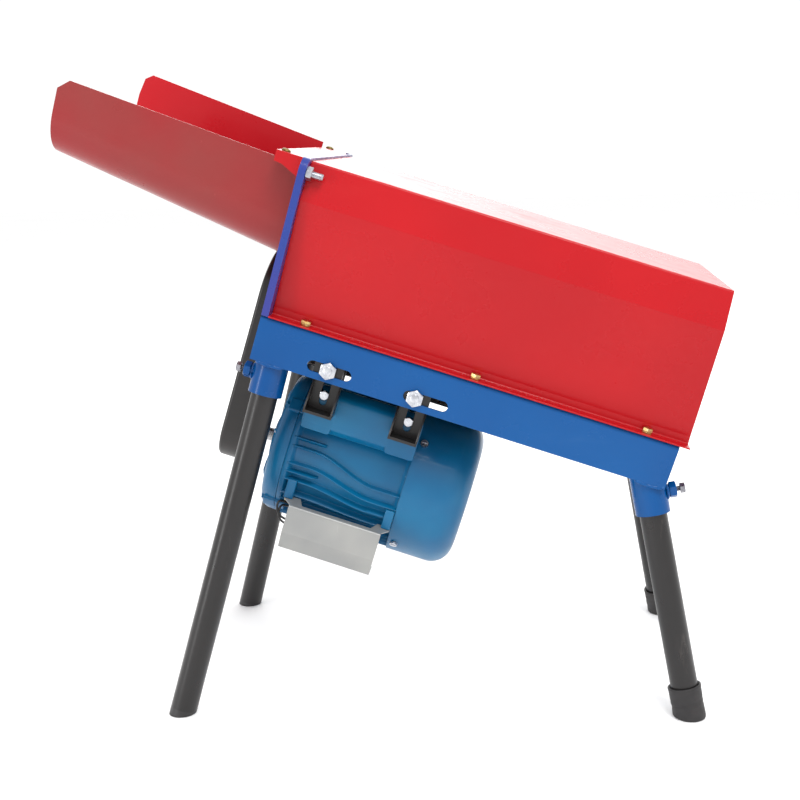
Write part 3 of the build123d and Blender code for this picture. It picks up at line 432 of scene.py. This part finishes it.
def arc(count, start=0.0, sweep=2 * math.pi):
    return [start + sweep * i / count for i in range(count)]


def hex_radius(across, angle):
    """Distance from a hexagon's centre to its outline at an angle."""
    step = math.pi / 3
    return across / 2 / math.cos((angle + step / 2) % step - step / 2)


class Part:
    """Collects closed shells and makes one riding object of them."""

    def __init__(self, frame=None):
        self.frame = frame or Matrix.Identity(4)
        self.points, self.faces = [], []

    def loft(self, rings, frame=None, closed=True, loop=False):
        """Joins rings of points; closed rings go round, a loop joins the last ring to the first."""
        frame = frame or Matrix.Identity(4)
        start, size = len(self.points), len(rings[0])
        for ring in rings:
            for point in ring:
                self.points.append(frame @ Vector(point))
        spans = size if closed else size - 1
        rows = len(rings) if loop else len(rings) - 1
        for row in range(rows):
            a, b = start + row * size, start + (row + 1) % len(rings) * size
            for i in range(spans):
                j = (i + 1) % size
                self.faces.append((a + i, a + j, b + j, b + i))
        if not loop:
            self.faces.append(tuple(start + i for i in reversed(range(size))))
            self.faces.append(tuple(start + (len(rings) - 1) * size + i for i in range(size)))
        return self

    def lathe(self, profile, frame=None, steps=64, wobble=None, loop=False):
        """Turns (distance along Z, radius) pairs about Z."""
        rings = []
        for z, radius in profile:
            ring = []
            for angle in arc(steps):
                reach = max(radius, 0.01) + (wobble(angle, z) if wobble else 0.0)
                ring.append((reach * math.cos(angle), reach * math.sin(angle), z))
            rings.append(ring)
        return self.loft(rings, frame, loop=loop)

    def prism(self, outline, low, high, frame=None):
        return self.loft([[(x, y, low) for x, y in outline], [(x, y, high) for x, y in outline]], frame)

    def hexagon(self, across, height, frame=None, both=False, crown=0.0, bore=0.0):
        """Hexagon standing on Z = 0 with its corners turned down; a crown rounds the middle up."""
        angles = arc(48)
        flat = across / 2 * 0.94

        def side(z, down):
            ring = []
            for angle in angles:
                reach = hex_radius(across, angle)
                drop = max(0.0, reach - flat) * 0.55
                ring.append((reach * math.cos(angle), reach * math.sin(angle), z - down * drop))
            return ring

        def level(radius, z):
            return [(radius * math.cos(angle), radius * math.sin(angle), z) for angle in angles]

        rings = [level(flat, 0.0), side(0.0, -1)] if both else [side(0.0, 0)]
        rings += [side(height, 1), level(flat, height)]
        if crown:
            rings += [level(flat * 0.62, height), level(flat * 0.58, height + crown * 0.5),
                      level(flat * 0.45, height + crown), level(0.05, height + crown * 1.1)]
        elif bore:
            rings += [level(bore + 0.5, height), level(bore, height - 0.5), level(bore, 0.5),
                      level(bore + 0.5, 0.0)]
            return self.loft(rings, frame, loop=True)
        return self.loft(rings, frame)

    def thread(self, radius, pitch, low, high, frame=None, steps=20):
        """Threaded bar on Z with its far end chamfered."""
        rings, depth = [], pitch * 0.55
        count = max(2, int((high - low) / pitch * 6))
        for i in range(count + 1):
            z = low + (high - low) * i / count
            ring = []
            for angle in arc(steps):
                phase = (z / pitch - angle / (2 * math.pi)) % 1.0
                cut = depth * (1 - abs(2 * phase - 1))
                limit = radius - max(0.0, z - (high - pitch)) * 0.8
                reach = max(0.3, min(radius - cut, limit))
                ring.append((reach * math.cos(angle), reach * math.sin(angle), z))
            rings.append(ring)
        return self.loft(rings, frame)

    def bead(self, path, radius, seed, frame=None, ripple=3.2):
        """Hand-laid weld: overlapping ripples of uneven size along a path."""
        draw = random.Random(seed)
        rings = []
        points = [Vector(p) for p in path]
        swell = [draw.uniform(0.85, 1.2) for _ in range(len(points) + 4)]
        travel = 0.0
        for i, point in enumerate(points):
            along = (points[min(i + 1, len(points) - 1)] - points[max(i - 1, 0)]).normalized()
            if i:
                travel += (point - points[i - 1]).length
            side = along.cross(Vector((0.123, 0.456, 0.88))).normalized()
            up = along.cross(side)
            end = min(1.0, 0.35 + min(i, len(points) - 1 - i) * 0.4)
            scallop = 0.82 + 0.22 * abs(math.sin(travel * math.pi / ripple))
            reach = radius * end * scallop * (swell[i] * 0.4 + swell[i + 1] * 0.6)
            shift = side * draw.uniform(-0.12, 0.12) * radius + up * draw.uniform(-0.12, 0.12) * radius
            rings.append([tuple(point + shift + (side * math.cos(a) + up * math.sin(a)) * reach)
                          for a in arc(10)])
        return self.loft(rings, frame)

    def finish(self, name, body, slot, replaces=(), bevel=0.0, sharp=32.0, material=None):
        mesh = bpy.data.meshes.new(name)
        placed = [tuple(self.frame @ (Vector(point) * MM)) for point in self.points]
        mesh.from_pydata(placed, [], self.faces)
        mesh.validate()
        build = bmesh.new()
        build.from_mesh(mesh)
        bmesh.ops.recalc_face_normals(build, faces=build.faces)
        build.to_mesh(mesh)
        build.free()
        mesh.polygons.foreach_set("use_smooth", [True] * len(mesh.polygons))
        mesh.set_sharp_from_angle(angle=math.radians(sharp))
        obj = bpy.data.objects.new(name, mesh)
        bpy.context.scene.collection.objects.link(obj)
        mesh.materials.append(MATERIALS[material or slot])
        if bevel:
            modifier = obj.modifiers.new("bevel", "BEVEL")
            modifier.width = bevel * MM
            modifier.segments = 3
            modifier.limit_method = "ANGLE"
            modifier.angle_limit = math.radians(sharp)
            modifier.harden_normals = True
        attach(obj, body)
        if replaces:
            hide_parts(*replaces)
        return obj


def on_axis(frame, origin, direction):
    """Matrix at a point, with Z along a direction; the frame argument is not used."""
    return facing(Vector(origin), direction)


def rounded(points, radii, steps=6):
    """Polygon with its corners rounded."""
    result = []
    for i, point in enumerate(points):
        here = Vector(point)
        before = Vector(points[i - 1]) - here
        after = Vector(points[(i + 1) % len(points)]) - here
        radius = radii[i] if isinstance(radii, (list, tuple)) else radii
        if radius <= 0:
            result.append(tuple(here))
            continue
        half = before.angle(after) / 2
        reach = min(radius / math.tan(half), before.length * 0.49, after.length * 0.49)
        a, b = here + before.normalized() * reach, here + after.normalized() * reach
        for k in range(steps + 1):
            t = k / steps
            result.append(tuple((1 - t) ** 2 * a + 2 * t * (1 - t) * here + t ** 2 * b))
    return result


# ---------------------------------------------------------------------------------------------------
# Motor: cast barrel with swept ribs, drive-end bell
# ---------------------------------------------------------------------------------------------------
MOTOR_X = MOTOR @ Matrix(((0, 0, 1, 0), (0, -1, 0, 0), (1, 0, 0, 0), (0, 0, 0, 1)))
BARREL_R, RIB_TIP_R = 78.0, 86.0
BARREL_START, BARREL_END = 62.0, 203.0
FOOT_ANGLE = math.radians(316.0)


def smooth_step(value):
    value = min(1.0, max(0.0, value))
    return value * value * (3 - 2 * value)


def rib(part, angle, start, end, drift):
    """One cast rib along the barrel, flared at its root, swinging sideways as it runs to the fan."""
    section = ((-3.4, -1.5), (-1.9, 0.3), (-1.25, 2.0), (-0.95, 6.6), (-0.5, 7.8), (0.0, 8.1),
               (0.5, 7.8), (0.95, 6.6), (1.25, 2.0), (1.9, 0.3), (3.4, -1.5))
    rings = []
    count = 26
    for i in range(count + 1):
        t = i / count
        x = start + (end - start) * t
        across = (x - BARREL_START) / (BARREL_END - BARREL_START)
        turn = angle + drift * smooth_step((across - 0.22) / 0.55)
        fade = min(1.0, 0.25 + min(t, 1 - t) * (end - start) / 7.0) if end < BARREL_END - 5 else 1.0
        if end < BARREL_END - 5 and t < 0.5:
            fade = 1.0
        ring = []
        for side, height in section:
            radius = BARREL_R + (height if height < 0 else height * fade)
            here = turn + side / radius
            ring.append((x, radius * math.sin(here), radius * math.cos(here)))
        rings.append(ring)
    part.loft(rings)


def motor_barrel():
    part = Part(MOTOR)
    lathe_x = Matrix(((0, 0, 1, 0), (0, 1, 0, 0), (-1, 0, 0, 0), (0, 0, 0, 1)))
    shell = [(62, 72.2), (62, 84.4), (63, 85), (67.5, 85), (69.5, 83.2), (71.5, 79.6), (74, 78), (196, 78),
             (198, 79.6), (200, 82), (203, 82.4), (203, 72.2)]
    part.lathe(shell, lathe_x, 128, loop=True)
    count = 26
    for i in range(count):
        angle = 2 * math.pi * (i + 0.5) / count
        away = (angle - FOOT_ANGLE + math.pi) % (2 * math.pi) - math.pi
        if abs(away) < 0.44:
            continue
        near = math.exp(-((abs(away) - 0.45) / 0.75) ** 2)
        rib(part, angle, 66.0, BARREL_END - 1.5, math.copysign(0.25 * near, away))
        if i % 2 == 0:
            rib(part, angle + math.pi / count, 66.0, 104.0 if near > 0.3 else 96.0, 0.0)
        elif near < 0.6:
            rib(part, angle + math.pi / count, 168.0, BARREL_END - 1.5, 0.0)
    part.finish("motor_barrel", BODY, "motor_blue", ("motor_housing",), bevel=0.0, sharp=38)


def motor_foot():
    """Rounded pad that the brackets bear on, with a low step under each bracket."""
    part = Part(MOTOR)
    face = -89.9
    outline = rounded([(face, 53), (face, 90), (-74, 97.5), (-52, 92), (-36, 72), (-60, 46), (-80, 44)],
                      (7, 12, 10, 8, 4, 4, 9))
    stations = ((68.5, 0.94), (70, 0.985), (73, 1.0), (197, 1.0), (199, 0.985), (200.5, 0.94))
    middle = (-66.0, 68.0)
    rings = []
    for x, grow in stations:
        rings.append([(x, middle[0] + (y - middle[0]) * grow, middle[1] + (z - middle[1]) * grow)
                      for y, z in outline])
    part.loft(rings)
    for x in (86.5, 185.0):
        low = rounded([(x - 17, 46), (x + 17, 46), (x + 17, 92), (x - 17, 92)], 4)
        part.loft([[(a, -84.0, b) for a, b in low], [(a, face - 0.02, b) for a, b in low]])
    for x in (78.0, 195.0):
        seat = rounded([(x - 5.4, -87.8), (x + 5.4, -87.8), (x + 5.4, -66), (x - 5.4, -66)], 2.0, 4)
        part.loft([[(a, b, c) for a, b in seat] for c in (-40.9, -28.0, -18.0)])
    part.finish("motor_foot", BODY, "motor_blue", bevel=0.9, sharp=30)


def drive_bell():
    """Cast end cover: hub, dished web with ribs, deep rim band and four square screw lugs."""
    part = Part(MOTOR)
    lathe_x = Matrix(((0, 0, 1, 0), (0, 1, 0, 0), (-1, 0, 0, 0), (0, 0, 0, 1)))
    profile = [(34, 9.6), (33.6, 12), (33.6, 26), (34.4, 29), (37, 31.5), (40.5, 36), (41.6, 50), (41.2, 66),
               (41.4, 73), (42.4, 77), (44.6, 80.4), (48, 83), (52, 84.3), (57, 84.8), (61.2, 84.9),
               (61.8, 84.4), (61.8, 71.9), (57, 71), (53, 64), (50, 36), (55, 36), (55, 23.6), (38, 23.6),
               (38, 9.6)]
    part.lathe(profile, lathe_x, 128, loop=True)
    for i in range(8):
        turn = Matrix.Rotation(math.radians(45 * i + 22.5), 4, "X")
        rings = []
        for radius, top, half in ((30, 36.5, 3.2), (34, 36.2, 2.8), (52, 37.0, 2.3), (66, 38.4, 2.0),
                                  (72, 40.4, 1.8), (76, 42.5, 1.6)):
            rings.append([(46, -half - 1, radius), (top + 1.2, -half, radius), (top, -half * 0.5, radius),
                          (top, half * 0.5, radius), (top + 1.2, half, radius), (46, half + 1, radius)])
        part.loft(rings, turn)
    for angle in (45, 135, 225, 315):
        turn = Matrix.Rotation(math.radians(angle), 4, "X")
        lug = rounded([(-8.5, 70), (8.5, 70), (8.5, 87.3), (-8.5, 87.3)], (0, 0, 2.5, 2.5), 4)
        part.loft([[(x, y, z) for y, z in lug] for x in (48.0, 61.8)], turn)
        part.loft([[(x, y, z) for y, z in lug] for x in (62.2, 73.0)], turn)
    part.finish("drive_bell_casting", BODY, "motor_blue", ("drive_end_bell",), bevel=0.7, sharp=34)


# ---------------------------------------------------------------------------------------------------
# Fasteners
# ---------------------------------------------------------------------------------------------------


def bolt(part, point, direction, size, across, head, reach=0.0, washer=0.0, crown=0.0, pitch=None):
    """Hex head on a seat, with its threaded shank behind it."""
    frame = facing(point, direction)
    if washer:
        rim = across * 0.58
        part.lathe([(0, rim - 0.4), (0.3, rim), (washer * 0.6, rim), (washer, across * 0.5)], frame, 40)
    part.hexagon(across, head, frame @ Matrix.Translation((0, 0, washer)), crown=crown)
    if reach:
        back = frame @ Matrix.Rotation(math.pi, 4, "X")
        part.thread(size / 2, pitch or size * 0.16, 0.2, reach, back)


def nut(part, point, direction, size, across, height):
    part.hexagon(across, height, facing(point, direction), both=True, bore=size / 2 + 0.02)


def rail_fasteners():
    """M10 bolts that hold the motor's brackets, in the front rail's slots."""
    part = Part(MACHINE)
    for x in (86.5, 185.0):
        bolt(part, (x, -145, -36.5), (0, -1, 0), 10, 17, 5.4, 17, crown=1.0)
        nut(part, (x, -138.9, -36.5), (0, 1, 0), 10, 17, 8)
    part.finish("bracket_bolts", BODY, "zinc_plated", ("motor_mount_bolts",), sharp=28)
    part = Part(MACHINE)
    for x in (86.5, 185.0):
        bolt(part, (x, -113, -72), (0, -1, 0), 6, 10, 4, 10)
    part.finish("foot_bolts", BODY, "zinc_plated", ("motor_foot_bolts",), sharp=28)


def hood_fasteners():
    part = Part(MACHINE)
    for x in (48.0, 240.5, 433.0):
        for y in (-135.0, 135.0):
            bolt(part, (x, y, 1.65), (0, 0, 1), 6, 10, 4.2, 12, washer=1.4, crown=0.3)
            nut(part, (x, y, -8.0), (0, 0, 1), 6, 10, 5)
    part.finish("hood_flange_screws", BODY, "yellow_zinc", ("hood_screws",), sharp=28)


def collar_fasteners():
    part = Part(MACHINE)
    for y in (-149.8, 149.8):
        bolt(part, (4.3, y, 160), (-1, 0, 0), 8, 13, 4.0, 22)
        nut(part, (8.0, y, 160), (1, 0, 0), 8, 13, 6.5)
    part.finish("collar_bolt_set", BODY, "zinc_plated", ("collar_bolts",), sharp=28)
    part = Part(MACHINE)
    for y in (-138.0, 138.0):
        frame = facing((-21, y, 174.55), (0, 0, 1))
        part.lathe([(0, 5.0), (0.9, 5.1), (2.0, 4.5), (2.7, 3.3), (2.9, 2.0), (2.2, 1.7), (2.1, 0.05)], frame, 40)
    part.finish("collar_pan_screws", BODY, "yellow_zinc", ("collar_screws",), sharp=34, material="aged_brass")


def bearing_fasteners():
    part = Part(MACHINE)
    for seat, nose, sheet in ((19.1, 1, 2.0), (446.9, -1, 4.0)):
        for y in (-45.0, 45.0):
            bolt(part, (seat, y, 0), (nose, 0, 0), 10, 17, 6.2, 11.1 + sheet + 6.5)
            nut(part, (seat - nose * (11.1 + sheet + 0.1), y, 0), (-nose, 0, 0), 10, 17, 5)
    part.finish("bearing_bolt_set", BODY, "zinc_plated", ("bearing_bolts",), sharp=28)


def guard_fasteners():
    part = Part(MACHINE)
    for y, z in ((-9.0, -78.0), (-14.0, -106.0)):
        bolt(part, (-25.5, y, z), (-1, 0, 0), 6, 10, 4, 37.4)
        nut(part, (5.95, y, z), (1, 0, 0), 6, 10, 5)
    for y, z in ((-66.0, 28.0), (66.0, 28.0)):
        bolt(part, (4.4, y, z), (-1, 0, 0), 6, 10, 4, 10)
        nut(part, (8.05, y, z), (1, 0, 0), 6, 10, 5)
    part.finish("guard_bolt_set", BODY, "zinc_plated", ("guard_screws",), sharp=28)


def tie_screws():
    part = Part(MOTOR)
    for angle in (45, 135, 225, 315):
        turn = Matrix.Rotation(math.radians(angle), 4, "X")
        bolt(part, turn @ Vector((47.9, 0, 80)), (-1, 0, 0), 5, 8, 3.4, 14)
    part.finish("tie_screw_set", BODY, "motor_blue", ("motor_tie_screws",), sharp=28)


# ---------------------------------------------------------------------------------------------------
# Legs: weld nuts, clamp screws, boots, weld beads
# ---------------------------------------------------------------------------------------------------


CLAMP_REACH = 25.0      # the clamp joint stands this far out from its leg's axis
LEVELLED = 6.0          # a boot's foot turns level with the floor over this height


def leg_axes(name):
    """Where a leg's clamp screw crosses the leg's axis, the way up the leg, and the way out."""
    clamp, slide = JOINTS[name + "_clamp_turn"], JOINTS[name + "_leg_slide"]
    out = Vector(clamp["axis"]).normalized()
    up = -Vector(slide["axis"]).normalized()
    return Vector(clamp["pos_m"]) - out * CLAMP_REACH * MM, up, out


def clamp_sets():
    """Per leg: a turned-down weld nut with its beads, and the hex screw that bears on the leg."""
    nuts = Part()
    beads = Part()
    for order, name in enumerate(LEGS):
        origin, up, out = leg_axes(name)
        frame = facing(origin / MM, out)
        nuts.hexagon(16, 8, frame @ Matrix.Translation((0, 0, 21)), both=True, bore=3.1)
        nuts.lathe([(16, 3.2), (16, 6.4), (21.2, 6.6), (21.2, 3.2)],
                   frame, 32, loop=True)
        path = [(8.6 * math.cos(a), 8.6 * math.sin(a), 19.4 - 1.9 * math.sin(a) ** 2)
                for a in arc(30, 0.4, 5.9)]
        beads.bead(path, 1.9, 40 + order, frame, 2.6)
        screw = Part()
        screw.thread(3.0, 1.0, 15.1, 33.0, frame)
        screw.hexagon(10, 5.4, frame @ Matrix.Translation((0, 0, 33)))
        screw.finish(name + "_clamp_bolt", name + "_clamp_body", "clamp_zinc", (name + "_clamp_screw",), sharp=28)
    nuts.finish("weld_nuts", BODY, "rail_blue", ("clamp_nuts",), bevel=0.35, sharp=28)
    beads.finish("weld_nut_beads", BODY, "rail_blue", sharp=60)


def rail_beads():
    """Beads where each socket meets its rail's lower edge and inner face, and the collar its plate."""
    part = Part(MACHINE)
    for order, x in enumerate((22.5, 452.5)):
        for side in (-1, 1):
            path = []
            for i in range(17):
                t = i / 16
                path.append((x - 15.5 + 31 * t, side * 143.7, -50.6 - 0.9 * math.sin(math.pi * t)))
            part.bead(path, 2.1, 7 + order * 2 + side, None, 3.4)
            for edge in (-1, 1):
                path = [(x + edge * (11.5 + 0.8 * i / 10) - 0.25 * edge * i, side * (141.2 - i * 0.12),
                         -49 + i * 3.4) for i in range(10)]
                part.bead(path, 1.8, 20 + order * 4 + side + edge, None, 3.0)
    part.finish("socket_weld_beads", BODY, "rail_blue", sharp=60)
    part = Part(MACHINE)
    for side in (-1, 1):
        path = [(-0.4 + 0.15 * math.sin(i * 1.7), side * 149.4, 153.5 + i * 1.25) for i in range(17)]
        part.bead(path, 1.3, 60 + side, None, 2.4)
    part.finish("collar_weld_beads", BODY, "hood_red", sharp=60)


def boot(name):
    """Loose rubber cup: rolled lip, creased wall, worn foot cut level with the floor."""
    origin, up, out = leg_axes(name)
    low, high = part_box(name + "_boot")
    centre = origin - up * (origin.z / up.z)
    frame = axes_matrix(centre, out, up.cross(out))
    draw = random.Random(90 + len(name))
    creases = [(draw.uniform(0, 6.28), draw.uniform(6, 24), draw.uniform(0.25, 0.6)) for _ in range(7)]
    tall, steps = 35.0, 96

    def wall(angle, z, radius):
        reach = radius + 0.22 * math.sin(2 * angle + 0.6) * z / tall
        for where, height, deep in creases:
            turn = math.cos(angle - where)
            reach -= deep * math.exp(-((z - height - 5 * turn) / 1.5) ** 2) * (0.5 + 0.5 * turn)
        return reach

    rows = [(0.0, 16.9), (0.5, 17.5), (1.6, 17.9)] + [(3 + i * 1.3, 17.85) for i in range(21)]
    rows += [(31.2, 17.9), (32.2, 18.15), (33.6, 18.3), (34.6, 18.1), (35.0, 17.5), (34.9, 16.4), (34.0, 15.5),
             (31.0, 15.06), (20.0, 15.03), (5.9, 15.03), (5.9, 0.05)]
    part = Part()
    rings = []
    for z, radius in rows:
        ring = []
        for angle in arc(steps):
            reach = wall(angle, z, radius) if radius > 17 and z > 1 else radius
            flat = Vector((reach * math.cos(angle) * MM, reach * math.sin(angle) * MM, z * MM))
            point = frame @ flat
            if z < LEVELLED:
                drop = (point.z - z * MM) / up.z * (1 - z / LEVELLED)
                point = point - up * drop
            ring.append(tuple(point / MM))
        rings.append(ring)
    part.loft(rings)
    part.finish(name + "_rubber_boot", name + "_leg_body", "boot_rubber", (name + "_boot",), sharp=50)


# ---------------------------------------------------------------------------------------------------
# Capacitor leads
# ---------------------------------------------------------------------------------------------------


def wire(name, route, diameter):
    curve = bpy.data.curves.new(name, "CURVE")
    curve.dimensions = "3D"
    spline = curve.splines.new("NURBS")
    spline.points.add(len(route) - 1)
    for point, place in zip(spline.points, route):
        point.co = (*(MACHINE @ (Vector(place) * MM)), 1.0)
    spline.order_u = 3
    spline.use_endpoint_u = True
    curve.bevel_depth = diameter / 2 * MM
    curve.bevel_resolution = 5
    curve.resolution_u = 16
    curve.use_fill_caps = True
    curve.materials.append(MATERIALS["wire_black"])
    obj = bpy.data.objects.new(name, curve)
    bpy.context.scene.collection.objects.link(obj)
    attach(obj, BODY)
    return obj


def leads():
    first = wire("capacitor_lead_upper", [(86, -86.5, -216), (76, -91, -213), (66.5, -98, -212),
                                          (70, -104, -224), (80, -105.5, -229), (87.2, -106, -228)], 2.6)
    second = wire("capacitor_lead_lower", [(86, -86.5, -219.6), (78, -91, -217), (70.5, -98, -216.5),
                                           (73, -106, -228), (81, -109, -232.5), (87.2, -109.6, -231.6)], 2.6)
    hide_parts("capacitor_leads")
    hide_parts("capacitor_leads")


motor_barrel()
motor_foot()
drive_bell()
rail_fasteners()
hood_fasteners()
collar_fasteners()
bearing_fasteners()
guard_fasteners()
tie_screws()
clamp_sets()
rail_beads()
for leg in ("front_right", "rear_right"):
    boot(leg)
leads()
